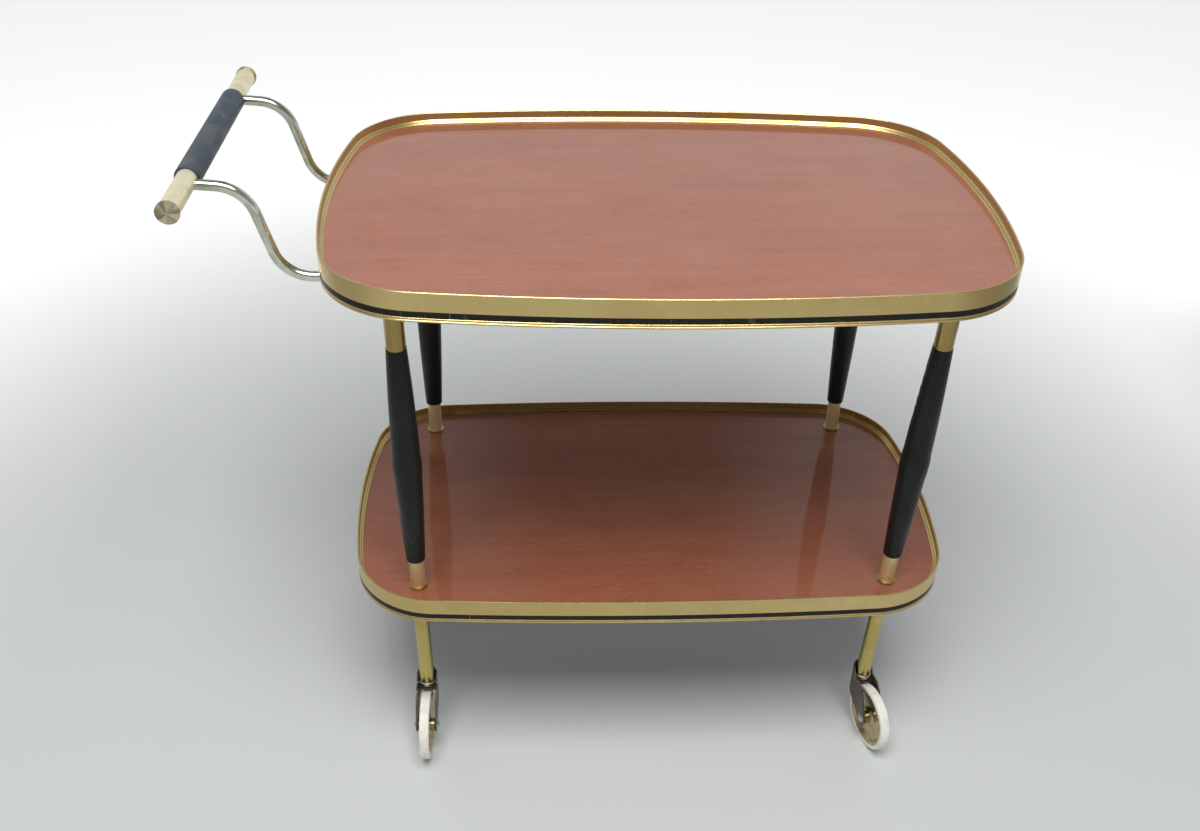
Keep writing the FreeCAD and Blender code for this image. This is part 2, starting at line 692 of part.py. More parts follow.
def build_axle():
    """Riveted axle with a low domed head at each end."""
    centre = FreeCAD.Vector(caster_trail, 0, wheel_radius)
    half = fork_width / 2
    axle = cylinder(centre - along_y * half, centre + along_y * half, axle_diameter / 2)
    for way in (along_y, along_y * -1):
        axle = axle.fuse(dome(centre + way * half, way, axle_head_diameter / 2, axle_head_height))
    return axle.removeSplitter()


def wheel_revolved(profile):
    points = [FreeCAD.Vector(caster_trail + radius, reach, wheel_radius) for radius, reach in profile]
    return revolved(points, FreeCAD.Vector(caster_trail, 0, wheel_radius), along_y)


def build_hub():
    """Pressed disc wheel: boss, raised ring, thin web and a flared edge that carries the tyre."""
    bore = axle_diameter / 2 + run_gap
    boss = hub_boss_diameter / 2
    boss_half = hub_boss_width / 2
    ring = hub_flange_diameter / 2
    ring_half = hub_flange_width / 2
    web_half = hub_web / 2
    edge_half = hub_edge_width / 2
    slope = ring_half - web_half
    half_profile = [
        (bore, boss_half), (boss - hub_boss_chamfer, boss_half), (boss, boss_half - hub_boss_chamfer),
        (boss, ring_half), (ring - slope, ring_half), (ring, web_half), (hub_dish_radius, web_half),
        (hub_edge_radius, edge_half), (tyre_bore_radius, edge_half),
    ]
    mirrored = [(radius, -reach) for radius, reach in reversed(half_profile)]
    return wheel_revolved(half_profile + mirrored)


def build_tyre():
    half = tyre_width / 2
    ring = wheel_revolved([
        (tyre_bore_radius, -half), (wheel_radius, -half), (wheel_radius, half), (tyre_bore_radius, half),
    ])
    outer = [edge for edge in ring.Edges if edge.BoundBox.ZLength > 2 * wheel_radius - 0.01]
    return ring.makeFillet(tyre_round, outer)


def build_plug(side_x, side_y):
    """Plug fixed in the slanted tube, with a level race and an upright king pin."""
    foot = caster_place(side_x, side_y)
    crown_top = crown_height + crown_plate
    plug = leg_rod(side_x, side_y, tube_bore - fit_gap, caster_height, caster_height + plug_length)
    race_low = caster_height - race_height
    race = upright(foot.x, foot.y, race_low, caster_height, race_diameter / 2)
    race_edges = [edge for edge in race.Edges if edge.BoundBox.ZLength < 0.01]
    plug = plug.fuse(race.makeFillet(race_round, race_edges))
    plug = plug.fuse(upright(foot.x, foot.y, crown_top + run_gap, race_low, race_neck_diameter / 2))
    pin_low = crown_height - run_gap - king_pin_head_height
    plug = plug.fuse(upright(foot.x, foot.y, pin_low, crown_top + run_gap, king_pin_diameter / 2))
    head = upright(foot.x, foot.y, pin_low, crown_height - run_gap, king_pin_head_diameter / 2)
    rim = [edge for edge in head.Edges if edge.BoundBox.ZMax < pin_low + 0.01]
    return plug.fuse(head.makeFillet(king_pin_head_height / 2, rim[:1])).removeSplitter()


# ---- build every piece ----
stud_holes = [leg_rod(sx, sy, stud_diameter / 2 + fit_gap, lower_underside - 1, lower_face + 1)
              for name, sx, sy, angle in legs]
washer_seats = []
for name, sx, sy, angle in legs:
    centre = leg_point(sx, sy, foot_level - washer_thickness / 2)
    washer_seats.append(upright(centre.x, centre.y, lower_face - seat_depth, lower_face + 1,
                                washer_diameter / 2 + fit_gap))
lower_board = build_board(lower, lower_face).cut(Part.makeCompound(stud_holes + washer_seats))

screw_tip = upper_underside + wood_screw_bite
block_bottom = arm_low_z - arm_diameter / 2 - block_floor
socket_places = [place for name, sx, sy, angle in legs for place in flange_screw_places(sx, sy)]
block_places = [place for side in (-1, 1) for place in block_screw_places(side * arm_spread / 2)]
screw_holes = [upright(x, y, upper_underside - 1, screw_tip, wood_screw_diameter / 2 + fit_gap)
               for x, y in socket_places + block_places]
upper_board = build_board(upper, upper_face).cut(Part.makeCompound(screw_holes))

save("top_board", upper_board)
save("top_rim", build_rim(upper, tray_height))
save("top_stripe", build_stripe(upper, tray_height))
save("lower_board", lower_board)
save("lower_rim", build_rim(lower, lower_rim_top))
save("lower_stripe", build_stripe(lower, lower_rim_top))

for name, side_x, side_y, swivel_angle in legs:
    save("leg_socket_" + name, build_socket(side_x, side_y))
    save("upper_tube_" + name, build_upper_tube(side_x, side_y))
    save("sleeve_" + name, build_sleeve(side_x, side_y))
    save("lower_tube_" + name, build_lower_tube(side_x, side_y))
    save("leg_stud_" + name, build_stud(side_x, side_y))
    save("caster_plug_" + name, build_plug(side_x, side_y))
    save("fork_" + name, placed(build_fork(), side_x, side_y, swivel_angle))
    save("axle_" + name, placed(build_axle(), side_x, side_y, swivel_angle))
    save("hub_" + name, placed(build_hub(), side_x, side_y, swivel_angle))
    save("tyre_" + name, placed(build_tyre(), side_x, side_y, swivel_angle))

under = lower_underside - washer_thickness
washer_low = lower_face - seat_depth
save("upper_washers", Part.makeCompound([build_washer(sx, sy, washer_low) for name, sx, sy, angle in legs]))
save("lower_washers", Part.makeCompound([build_washer(sx, sy, under) for name, sx, sy, angle in legs]))
save("set_screws", Part.makeCompound([build_set_screw(sx, sy) for name, sx, sy, angle in legs]))
socket_seat = upper_underside - flange_plate
socket_screws = [build_wood_screw(x, y, socket_seat, screw_tip) for x, y in socket_places]
block_screws = [build_wood_screw(x, y, block_bottom, screw_tip) for x, y in block_places]
save("socket_screws", Part.makeCompound(socket_screws))
save("block_screws", Part.makeCompound(block_screws))

for name, side in (("front", -1), ("rear", 1)):
    save("handle_arm_" + name, build_arm(side * arm_spread / 2))
    save("handle_block_" + name, build_block(side * arm_spread / 2))
    save("end_cap_" + name, build_cap(side))
save("handle_bar", build_bar())
save("handle_grip", build_grip())

for name, side_x, side_y, swivel_angle in legs:
    foot = caster_place(side_x, side_y)
    reach = math.radians(swivel_angle)
    axle_x = foot.x + caster_trail * math.cos(reach)
    axle_y = foot.y + caster_trail * math.sin(reach)
    print("swivel", name, round(foot.x, 3), round(foot.y, 3))
    print("axle", name, round(axle_x, 3), round(axle_y, 3), "turned", swivel_angle)
print("tray centre x", tray_x, "upper face", upper_face, "lower face", lower_face)
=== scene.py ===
import json
import math

import bpy
from mathutils import Matrix, Vector


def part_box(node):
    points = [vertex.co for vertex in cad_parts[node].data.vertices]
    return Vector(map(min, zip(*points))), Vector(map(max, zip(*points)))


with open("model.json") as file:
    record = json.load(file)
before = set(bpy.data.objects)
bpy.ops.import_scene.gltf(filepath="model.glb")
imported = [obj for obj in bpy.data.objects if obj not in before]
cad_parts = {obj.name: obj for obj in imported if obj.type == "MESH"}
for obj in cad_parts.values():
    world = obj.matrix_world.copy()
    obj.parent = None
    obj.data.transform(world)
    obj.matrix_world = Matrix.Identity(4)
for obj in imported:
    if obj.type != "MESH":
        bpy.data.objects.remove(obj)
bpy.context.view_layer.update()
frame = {"nodes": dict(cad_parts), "record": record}
nodes = frame["nodes"]
print("frame loaded:", len(nodes), "nodes")


# small helpers for shader trees
def newMaterial(name):
    material = bpy.data.materials.new(name)
    material.use_nodes = True
    tree = material.node_tree
    tree.nodes.clear()
    output = tree.nodes.new("ShaderNodeOutputMaterial")
    shader = tree.nodes.new("ShaderNodeBsdfPrincipled")
    tree.links.new(shader.outputs["BSDF"], output.inputs["Surface"])
    return material, tree, shader


def feed(tree, socket, value):
    # a socket takes a number, a colour or another node's output
    if isinstance(value, (int, float)):
        socket.default_value = value
    elif isinstance(value, tuple):
        socket.default_value = (*value, 1.0)
    else:
        tree.links.new(value, socket)


def objectCoords(tree, scale=(1, 1, 1), shift=(0, 0, 0)):
    coords = tree.nodes.new("ShaderNodeTexCoord")
    mapping = tree.nodes.new("ShaderNodeMapping")
    mapping.inputs["Scale"].default_value = scale
    mapping.inputs["Location"].default_value = shift
    tree.links.new(coords.outputs["Object"], mapping.inputs["Vector"])
    return mapping.outputs["Vector"]


def separate(tree, vector):
    node = tree.nodes.new("ShaderNodeSeparateXYZ")
    tree.links.new(vector, node.inputs["Vector"])
    return node.outputs


def surfaceNormal(tree):
    geometry = tree.nodes.new("ShaderNodeNewGeometry")
    return separate(tree, geometry.outputs["Normal"])


def noise(tree, vector, scale=5.0, detail=4.0, roughness=0.5, distortion=0.0):
    node = tree.nodes.new("ShaderNodeTexNoise")
    feed(tree, node.inputs["Scale"], scale)
    node.inputs["Detail"].default_value = detail
    node.inputs["Roughness"].default_value = roughness
    node.inputs["Distortion"].default_value = distortion
    tree.links.new(vector, node.inputs["Vector"])
    return node.outputs["Fac"]


def remap(tree, value, fromLow, fromHigh, toLow=0.0, toHigh=1.0, smooth=False):
    node = tree.nodes.new("ShaderNodeMapRange")
    node.interpolation_type = "SMOOTHSTEP" if smooth else "LINEAR"
    for key, number in zip(("From Min", "From Max", "To Min", "To Max"), (fromLow, fromHigh, toLow, toHigh)):
        node.inputs[key].default_value = number
    tree.links.new(value, node.inputs["Value"])
    return node.outputs["Result"]


def mathNode(tree, operation, a, b=None):
    node = tree.nodes.new("ShaderNodeMath")
    node.operation = operation
    feed(tree, node.inputs[0], a)
    if b is not None:
        feed(tree, node.inputs[1], b)
    return node.outputs["Value"]


def plus(tree, a, b):
    return mathNode(tree, "ADD", a, b)


def minus(tree, a, b):
    return mathNode(tree, "SUBTRACT", a, b)


def times(tree, a, b):
    return mathNode(tree, "MULTIPLY", a, b)


def mixColor(tree, factor, a, b):
    node = tree.nodes.new("ShaderNodeMix")
    node.data_type = "RGBA"
    factorIn, firstIn, secondIn = node.inputs[0], node.inputs[6], node.inputs[7]
    feed(tree, factorIn, factor)
    feed(tree, firstIn, a)
    feed(tree, secondIn, b)
    return node.outputs[2]


def bumpNode(tree, height, strength, distance):
    node = tree.nodes.new("ShaderNodeBump")
    node.inputs["Strength"].default_value = strength
    node.inputs["Distance"].default_value = distance
    tree.links.new(height, node.inputs["Height"])
    return node.outputs["Normal"]


def newGroup(name, inputs, outputs):
    group = bpy.data.node_groups.new(name, "ShaderNodeTree")
    for socketName, kind, value in inputs:
        socket = group.interface.new_socket(name=socketName, in_out="INPUT", socket_type=kind)
        if value is not None:
            socket.default_value = value
    for socketName, kind in outputs:
        group.interface.new_socket(name=socketName, in_out="OUTPUT", socket_type=kind)
    entry = group.nodes.new("NodeGroupInput")
    leave = group.nodes.new("NodeGroupOutput")
    return group, entry.outputs, leave.inputs


def useGroup(tree, group, vector, **values):
    node = tree.nodes.new("ShaderNodeGroup")
    node.node_tree = group
    tree.links.new(vector, node.inputs["Vector"])
    for key, value in values.items():
        node.inputs[key].default_value = value
    return node.outputs


# shared effects
def makeBrushed():
    # fine parallel lines; the caller's mapping sets which way they run
    lines = {"fineDetail": 6.0, "fineRoughness": 0.7, "broadDetail": 2.0, "broadShare": 0.12, "middle": 1.0}
    group, given, result = newGroup(
        "brushedLines",
        [("Vector", "NodeSocketVector", None), ("Density", "NodeSocketFloat", 40.0),
         ("Contrast", "NodeSocketFloat", 0.5)],
        [("Height", "NodeSocketFloat"), ("Streaks", "NodeSocketFloat")],
    )
    fine = noise(group, given["Vector"], given["Density"], lines["fineDetail"], lines["fineRoughness"])
    broad = noise(group, given["Vector"], times(group, given["Density"], lines["broadShare"]), lines["broadDetail"])
    centred = minus(group, plus(group, fine, broad), lines["middle"])
    group.links.new(fine, result["Height"])
    group.links.new(times(group, centred, given["Contrast"]), result["Streaks"])
    return group


def makeHandling():
    # smudges and fine random scratches, a mask from 0 to 1 each
    wear = {
        "smudgeDetail": 5.0, "smudgeRoughness": 0.62, "smudgeDistortion": 0.8, "smudgeStart": 0.46, "smudgeFull": 0.70,
        "scratchDetail": 1.0, "scratchDistortion": 0.15, "scratchStart": 0.70, "scratchFull": 0.76, "tilt": 0.4,
        "strokes": ((0.5, (1.0, 34.0, 1.0)), (-0.9, (26.0, 1.0, 1.0)), (2.1, (1.0, 30.0, 8.0))),  # turn, stretch
    }
    group, given, result = newGroup(
        "handlingMarks",
        [("Vector", "NodeSocketVector", None), ("Smudge Scale", "NodeSocketFloat", 14.0),
         ("Scratch Scale", "NodeSocketFloat", 60.0)],
        [("Smudges", "NodeSocketFloat"), ("Scratches", "NodeSocketFloat")],
    )
    smudge = noise(group, given["Vector"], given["Smudge Scale"], wear["smudgeDetail"], wear["smudgeRoughness"],
                   wear["smudgeDistortion"])
    group.links.new(remap(group, smudge, wear["smudgeStart"], wear["smudgeFull"], smooth=True), result["Smudges"])
    total = None
    for angle, stretch in wear["strokes"]:
        turn = group.nodes.new("ShaderNodeMapping")
        turn.inputs["Rotation"].default_value = (0.0, angle * wear["tilt"], angle)
        turn.inputs["Scale"].default_value = stretch
        group.links.new(given["Vector"], turn.inputs["Vector"])
        line = noise(group, turn.outputs["Vector"], given["Scratch Scale"], wear["scratchDetail"],
                     distortion=wear["scratchDistortion"])
        mark = remap(group, line, wear["scratchStart"], wear["scratchFull"])
        total = mark if total is None else mathNode(group, "MAXIMUM", total, mark)
    group.links.new(total, result["Scratches"])
    return group


def makeDust():
    # settles on faces that look up, more in broken patches
    settled = {"detail": 8.0, "roughness": 0.7, "patchStart": 0.35, "patchFull": 0.75,
               "tiltStart": 0.1, "tiltFull": 0.95}
    group, given, result = newGroup(
        "settledDust",
        [("Vector", "NodeSocketVector", None), ("Patch Scale", "NodeSocketFloat", 9.0),
         ("Amount", "NodeSocketFloat", 0.3)],
        [("Mask", "NodeSocketFloat")],
    )
    patch = noise(group, given["Vector"], given["Patch Scale"], settled["detail"], settled["roughness"])
    upward = remap(group, surfaceNormal(group)["Z"], settled["tiltStart"], settled["tiltFull"])
    broken = remap(group, patch, settled["patchStart"], settled["patchFull"])
    group.links.new(times(group, times(group, upward, broken), given["Amount"]), result["Mask"])
    return group


brushed = makeBrushed()
handling = makeHandling()
dust = makeDust()
print("shared shader groups made")


# materials
def wearMasks(tree, place, look):
    marks = useGroup(tree, handling, place,
                     **{"Smudge Scale": look["smudgeScale"], "Scratch Scale": look["scratchScale"]})
    film = useGroup(tree, dust, place, **{"Patch Scale": look["dustScale"], "Amount": look["dust"]})
    return marks["Smudges"], marks["Scratches"], film["Mask"]


def laminateMaterial():
    # printed wood figure under a clear glossy skin; the underside is a plain dark backing sheet
    look = {
        "ground": (0.335, 0.104, 0.050), "light": (0.390, 0.134, 0.070), "dark": (0.205, 0.056, 0.028),
        "pore": (0.110, 0.030, 0.018), "under": (0.050, 0.033, 0.023), "dustColor": (0.62, 0.58, 0.53),
        "bandStretch": (1.6, 11.0, 11.0), "bandScale": 3.2, "bandEdges": (0.34, 0.66),
        "wanderStretch": (2.2, 5.0, 5.0), "wanderScale": 1.6, "wander": 0.9,
        "fibreStretch": (9.0, 420.0, 420.0), "fibreEdges": (0.40, 0.72), "fibreDepth": 0.4,
        "poreStretch": (75.0, 900.0, 900.0), "poreEdges": (0.60, 0.69), "underEdges": (-0.6, -0.4),
        "groundShare": 0.70, "fibreShare": 0.30, "poreShare": 0.42, "softEdges": (0.3, 0.7),
        "smudgeScale": 7.0, "scratchScale": 9.0, "dustScale": 12.0, "dust": 0.05,
        "roughness": 0.34, "bandRoughness": 0.08, "poreRoughness": 0.15, "ior": 1.22,
        "coat": 1.0, "coatSmudge": 0.14, "coatScratch": 0.12, "coatUnder": 0.97, "coatRoughness": 0.045,
        "coatIor": 1.48, "bump": 0.25, "bumpDepth": 0.0002,
    }
    material, tree, shader = newMaterial("mahogany laminate")
    along = objectCoords(tree, scale=look["bandStretch"])
    wander = noise(tree, objectCoords(tree, scale=look["wanderStretch"]), look["wanderScale"], detail=2.0)
    bent = tree.nodes.new("ShaderNodeVectorMath")
    bent.operation = "ADD"
    tree.links.new(along, bent.inputs[0])
    tree.links.new(times(tree, wander, look["wander"]), bent.inputs[1])
    bands = noise(tree, bent.outputs["Vector"], look["bandScale"], detail=6.0, roughness=0.62, distortion=0.25)
    fibres = noise(tree, objectCoords(tree, scale=look["fibreStretch"]), scale=1.0, detail=4.0, roughness=0.6)
    ticks = noise(tree, objectCoords(tree, scale=look["poreStretch"]), scale=1.0, detail=2.0)
    pores = remap(tree, ticks, *look["poreEdges"])
    color = mixColor(tree, remap(tree, bands, *look["bandEdges"]), look["dark"], look["light"])
    color = mixColor(tree, look["groundShare"], color, look["ground"])
    color = mixColor(tree, remap(tree, fibres, *look["fibreEdges"], 0.0, look["fibreShare"]), color, look["dark"])
    color = mixColor(tree, times(tree, pores, look["poreShare"]), color, look["pore"])
    underside = remap(tree, surfaceNormal(tree)["Z"], *look["underEdges"], 1.0, 0.0)
    color = mixColor(tree, underside, color, look["under"])
    smudges, scratches, film = wearMasks(tree, objectCoords(tree), look)
    tree.links.new(mixColor(tree, film, color, look["dustColor"]), shader.inputs["Base Color"])
    rough = remap(tree, bands, *look["softEdges"], look["roughness"], look["roughness"] + look["bandRoughness"])
    rough = plus(tree, rough, times(tree, pores, look["poreRoughness"]))
    tree.links.new(rough, shader.inputs["Roughness"])
    coat = minus(tree, look["coat"], times(tree, smudges, look["coatSmudge"]))
    coat = minus(tree, coat, times(tree, scratches, look["coatScratch"]))
    coat = minus(tree, coat, times(tree, underside, look["coatUnder"]))
    tree.links.new(coat, shader.inputs["Coat Weight"])
    shader.inputs["Coat Roughness"].default_value = look["coatRoughness"]
    shader.inputs["Coat IOR"].default_value = look["coatIor"]
    shader.inputs["IOR"].default_value = look["ior"]
    height = minus(tree, remap(tree, fibres, *look["softEdges"], 0.0, look["fibreDepth"]), pores)
    tree.links.new(bumpNode(tree, height, look["bump"], look["bumpDepth"]), shader.inputs["Normal"])
    return material


def paintedSpinSheen(tree, color, look):
    # painted sheen: dark and light wedges round the middle of a turned face stand in for the highlights of spun metal,
    # with fine turning rings mixed in
    sheenPattern = {"wedges": 4.0, "swings": 7.0, "swingShift": 1.0, "swingShare": 0.6, "ringDensity": 4200.0,
             "ringShare": 0.35, "darkStart": -0.6, "darkFull": 1.6, "darkest": 0.85}
    centreX, centreZ = look["spinCentre"]
    face = separate(tree, objectCoords(tree, shift=(-centreX, 0, -centreZ)))
    angle = mathNode(tree, "ARCTAN2", face["Z"], face["X"])
    wave = mathNode(tree, "SINE", times(tree, angle, sheenPattern["wedges"]))
    swing = mathNode(tree, "SINE", plus(tree, times(tree, angle, sheenPattern["swings"]), sheenPattern["swingShift"]))
    sheenWedge = plus(tree, wave, times(tree, swing, sheenPattern["swingShare"]))
    squares = plus(tree, mathNode(tree, "POWER", face["X"], 2.0), mathNode(tree, "POWER", face["Z"], 2.0))
    rings = mathNode(tree, "SINE", times(tree, mathNode(tree, "SQRT", squares), sheenPattern["ringDensity"]))
    sheenWedge = plus(tree, sheenWedge, times(tree, rings, sheenPattern["ringShare"]))
    # painted shade and highlight: the higher the pattern, the more of the dark colour comes in
    shade = remap(tree, sheenWedge, sheenPattern["darkStart"], sheenPattern["darkFull"], 0.0, sheenPattern["darkest"])
    return mixColor(tree, shade, color, look["spinSheenDark"])


# what all the anodised and brass pieces share, unless a piece says otherwise
anodisedSkin = {
    "scratchScale": 16.0, "dustScale": 18.0, "dust": 0.10, "dustColor": (0.55, 0.52, 0.47), "streak": 0.22,
    "streakEdges": (-0.25, 0.25), "toneEdges": (0.35, 0.65), "lineEdges": (0.3, 0.7), "lineRoughness": (-0.04, 0.06),
    "smudgeRoughness": 0.10, "dustRoughness": 0.8, "metallic": 1.0, "dustEdges": (0.0, 0.2), "dustMetallic": 0.1,
    "scratchDepth": -0.6, "bumpDepth": 0.0001,
}


def anodisedMaterial(name, pieceLook):
    # lengthwise die lines of an extrusion or drawn tube under a satin gold anodised skin
    look = {**anodisedSkin, **pieceLook}
    material, tree, shader = newMaterial(name)
    place = objectCoords(tree)
    lines = useGroup(tree, brushed, objectCoords(tree, scale=look["lines"]), **{"Density": 1.0, "Contrast": 1.0})
    smudges, scratches, film = wearMasks(tree, place, look)
    tone = noise(tree, place, scale=look["toneScale"], detail=3.0, roughness=0.55)
    color = mixColor(tree, remap(tree, tone, *look["toneEdges"]), look["deep"], look["light"])
    streaks = remap(tree, lines["Streaks"], *look["streakEdges"], 0.0, look["streak"])
    color = mixColor(tree, streaks, color, look["deep"])
    color = mixColor(tree, times(tree, smudges, look["tarnish"]), color, look["stain"])
    color = mixColor(tree, times(tree, scratches, look["scratched"]), color, look["bare"])
    # painted sheen on a spun face, if the piece has one
    if "spinCentre" in look:
        color = paintedSpinSheen(tree, color, look)
    tree.links.new(mixColor(tree, film, color, look["dustColor"]), shader.inputs["Base Color"])
    roughest = [look["roughness"] + change for change in look["lineRoughness"]]
    rough = remap(tree, lines["Height"], *look["lineEdges"], *roughest)
    rough = plus(tree, rough, times(tree, smudges, look["smudgeRoughness"]))
    rough = plus(tree, rough, times(tree, film, look["dustRoughness"]))
    tree.links.new(rough, shader.inputs["Roughness"])
    metal = remap(tree, film, *look["dustEdges"], look["metallic"], look["metallic"] - look["dustMetallic"])
    tree.links.new(metal, shader.inputs["Metallic"])
    shader.inputs["Anisotropic"].default_value = look["anisotropic"]
    height = plus(tree, lines["Height"], times(tree, scratches, look["scratchDepth"]))
    tree.links.new(bumpNode(tree, height, look["bump"], look["bumpDepth"]), shader.inputs["Normal"])
    return material


def stripeMaterial():
    # smooth black plastic strip, with dust caught in it
    look = {
        "dark": (0.006, 0.005, 0.003), "light": (0.014, 0.011, 0.006), "scratch": (0.12, 0.10, 0.08),
        "dustColor": (0.20, 0.18, 0.15), "smudgeScale": 26.0, "scratchScale": 30.0, "dustScale": 30.0, "dust": 0.3,
        "driftScale": 9.0, "scratched": 0.35, "roughness": 0.34, "smudgeRoughness": 0.48, "ior": 1.3,
        "grainStretch": (60, 60, 1400), "bump": 0.12, "bumpDepth": 0.0001,
    }
    material, tree, shader = newMaterial("black stripe plastic")
    place = objectCoords(tree)
    smudges, scratches, film = wearMasks(tree, place, look)
    color = mixColor(tree, noise(tree, place, look["driftScale"], detail=3.0), look["dark"], look["light"])
    color = mixColor(tree, times(tree, scratches, look["scratched"]), color, look["scratch"])
    tree.links.new(mixColor(tree, film, color, look["dustColor"]), shader.inputs["Base Color"])
    rough = plus(tree, remap(tree, smudges, 0.0, 1.0, look["roughness"], look["smudgeRoughness"]), film)
    tree.links.new(rough, shader.inputs["Roughness"])
    shader.inputs["IOR"].default_value = look["ior"]
    grain = noise(tree, objectCoords(tree, scale=look["grainStretch"]), scale=1.0, detail=3.0)
    tree.links.new(bumpNode(tree, grain, look["bump"], look["bumpDepth"]), shader.inputs["Normal"])
    return material


# what the sleeves and the grip share
plasticSkin = {
    "scratchScale": 24.0, "dustScale": 24.0, "dust": 0.22, "dustColor": (0.33, 0.32, 0.30), "rubbedShare": 0.35,
    "scratched": 0.30, "polish": 0.08, "dustRoughness": 0.7, "driftScale": 6.0, "pitScale": 110.0,
    "grainShare": 0.5, "pitShare": 0.9, "bumpDepth": 0.00018,
}


def plasticMaterial(name, pieceLook):
    # moulded or lacquered satin black, with rubbed places and fine pits
    look = {**plasticSkin, **pieceLook}
    material, tree, shader = newMaterial(name)
    place = objectCoords(tree)
    smudges, scratches, film = wearMasks(tree, place, look)
    drift = noise(tree, place, scale=look["driftScale"], roughness=0.6)
    color = mixColor(tree, drift, look["dark"], look["light"])
    color = mixColor(tree, times(tree, smudges, look["rubbedShare"]), color, look["rubbed"])
    color = mixColor(tree, times(tree, scratches, look["scratched"]), color, look["scratch"])
    tree.links.new(mixColor(tree, film, color, look["dustColor"]), shader.inputs["Base Color"])
    rough = remap(tree, smudges, 0.0, 1.0, look["roughness"], look["roughness"] - look["polish"])
    rough = plus(tree, rough, times(tree, film, look["dustRoughness"]))
    tree.links.new(rough, shader.inputs["Roughness"])
    shader.inputs["IOR"].default_value = look["ior"]
    grain = noise(tree, place, scale=look["grainScale"], detail=3.0, roughness=0.6)
    pits = noise(tree, place, scale=look["pitScale"], detail=2.0)
    height = plus(tree, times(tree, grain, look["grainShare"]), times(tree, pits, look["pitShare"]))
    tree.links.new(bumpNode(tree, height, look["bump"], look["bumpDepth"]), shader.inputs["Normal"])
    return material


def tyreMaterial():
    # cream rubber, darker towards the bottom
    look = {
        "dark": (0.84, 0.83, 0.75), "light": (0.92, 0.92, 0.86), "smudge": (0.52, 0.46, 0.36),
        "scratch": (0.36, 0.32, 0.27), "bottomColor": (0.30, 0.27, 0.23), "smudgeScale": 55.0, "scratchScale": 60.0,
        "smudged": 0.35, "scratched": 0.4, "bottomHeight": 0.012, "bottomShare": 0.45, "roughness": 0.48,
        "smudgeRoughness": 0.62, "driftScale": 40.0, "driftShare": 0.5, "grainScale": 900.0, "grainShare": 0.4,
        "bump": 0.3, "bumpDepth": 0.0003,
    }
    material, tree, shader = newMaterial("cream rubber tyre")
    place = objectCoords(tree)
    marks = useGroup(tree, handling, place,
                     **{"Smudge Scale": look["smudgeScale"], "Scratch Scale": look["scratchScale"]})
    drift = noise(tree, place, scale=look["driftScale"], detail=6.0, roughness=0.65)
    color = mixColor(tree, drift, look["dark"], look["light"])
    color = mixColor(tree, times(tree, marks["Smudges"], look["smudged"]), color, look["smudge"])
    color = mixColor(tree, times(tree, marks["Scratches"], look["scratched"]), color, look["scratch"])
    # darker towards the bottom, in patches
    bottomDarkening = remap(tree, separate(tree, place)["Z"], 0.0, look["bottomHeight"], look["bottomShare"], 0.0, smooth=True)
    color = mixColor(tree, times(tree, bottomDarkening, drift), color, look["bottomColor"])
    tree.links.new(color, shader.inputs["Base Color"])
    rough = remap(tree, marks["Smudges"], 0.0, 1.0, look["roughness"], look["smudgeRoughness"])
    tree.links.new(rough, shader.inputs["Roughness"])
    grain = noise(tree, place, scale=look["grainScale"], detail=3.0, roughness=0.6)
    height = plus(tree, times(tree, grain, look["grainShare"]), times(tree, drift, look["driftShare"]))
    tree.links.new(bumpNode(tree, height, look["bump"], look["bumpDepth"]), shader.inputs["Normal"])
    return material


# what the zinc, the forks and the hubs share
steelSkin = {
    "smudgeScale": 60.0, "scratchScale": 70.0, "dustScale": 60.0, "dustColor": (0.30, 0.27, 0.23), "scratched": 0.35,
    "driftScale": 70.0, "driftEdges": (0.35, 0.65), "softEdges": (0.3, 0.7), "driftRoughness": (-0.06, 0.08),
    "dustRoughness": 0.7, "rustMetallic": 0.25, "driftShare": 0.7, "grainScale": 600.0, "bumpDepth": 0.0002,
}


def steelMaterial(name, pieceLook):
    # plated or lacquered sheet metal, mottled, rubbed bright in places and a little rusty in others
    look = {**steelSkin, **pieceLook}
    material, tree, shader = newMaterial(name)
    place = objectCoords(tree)
    smudges, scratches, film = wearMasks(tree, place, look)
    drift = noise(tree, place, scale=look["driftScale"], detail=6.0, roughness=0.65)
    color = mixColor(tree, remap(tree, drift, *look["driftEdges"]), look["deep"], look["light"])
    color = mixColor(tree, times(tree, smudges, look["rust"]), color, look["stain"])
    color = mixColor(tree, times(tree, scratches, look["scratched"]), color, look["bare"])
    tree.links.new(mixColor(tree, film, color, look["dustColor"]), shader.inputs["Base Color"])
    roughest = [look["roughness"] + change for change in look["driftRoughness"]]
    rough = remap(tree, drift, *look["softEdges"], *roughest)
    rough = plus(tree, rough, times(tree, film, look["dustRoughness"]))
    tree.links.new(rough, shader.inputs["Roughness"])
    metal = remap(tree, smudges, 0.0, 1.0, look["metallic"], look["metallic"] - look["rustMetallic"])
    tree.links.new(metal, shader.inputs["Metallic"])
    grain = noise(tree, place, scale=look["grainScale"], roughness=0.7)
    height = plus(tree, grain, times(tree, drift, look["driftShare"]))
    tree.links.new(bumpNode(tree, height, look["bump"], look["bumpDepth"]), shader.inputs["Normal"])
    return material


